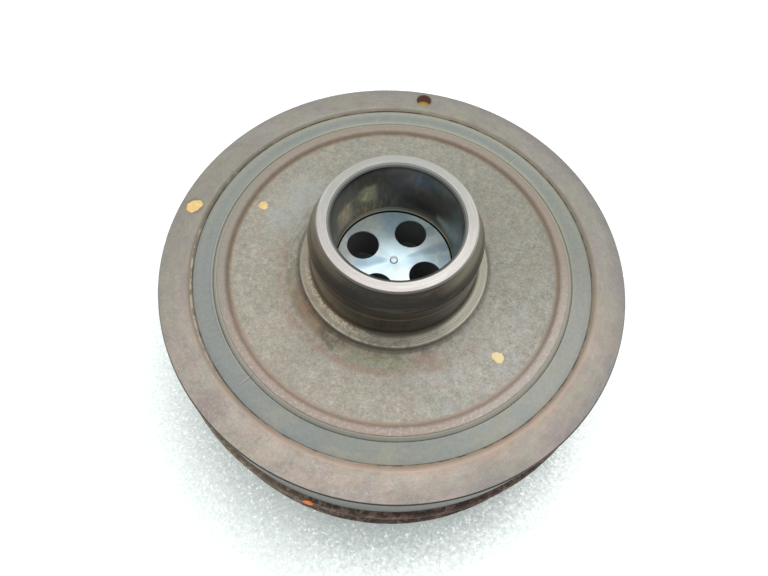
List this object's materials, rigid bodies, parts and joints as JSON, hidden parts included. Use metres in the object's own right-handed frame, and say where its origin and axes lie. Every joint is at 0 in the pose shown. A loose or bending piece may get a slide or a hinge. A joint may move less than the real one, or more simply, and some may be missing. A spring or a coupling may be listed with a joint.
{
  "type": "harmonic balancer",
  "caption": "Decoupled harmonic balancer: cast hub with a seal collar, rubber-tuned inertia ring and a ribbed belt pulley on a soft coupling ring.",
  "frame": {"origin": "centre of the face that the end of the crankshaft seats on, on the axis of rotation", "axes": "+Z along the axis of rotation, rearwards to the engine; X and Y across it"},
  "size_m": [0.1878, 0.1878, 0.0843],
  "materials": {
    "cast_hub": "cast web with a thin rust bloom, collar turned and oily",
    "zinc_plated_steel": "bright bluish zinc plate",
    "turned_iron": "turned, with light staining",
    "damper_rubber": "dusty grey rubber",
    "pulley_steel": "black coating, rusty at the rear flange",
    "bearing_plastic": "filled bearing plastic",
    "coupling_rubber": "matt black rubber"
  },
  "bodies": {
    "root": {"hub": "cast_hub", "carrier": "zinc_plated_steel", "inertia_ring": "turned_iron", "damper_rubber": "damper_rubber", "pulley": "pulley_steel", "bearing_bush": "bearing_plastic", "rear_thrust_ring": "bearing_plastic", "front_thrust_ring": "bearing_plastic", "coupling_rubber": "coupling_rubber"}
  },
  "joints": []
}
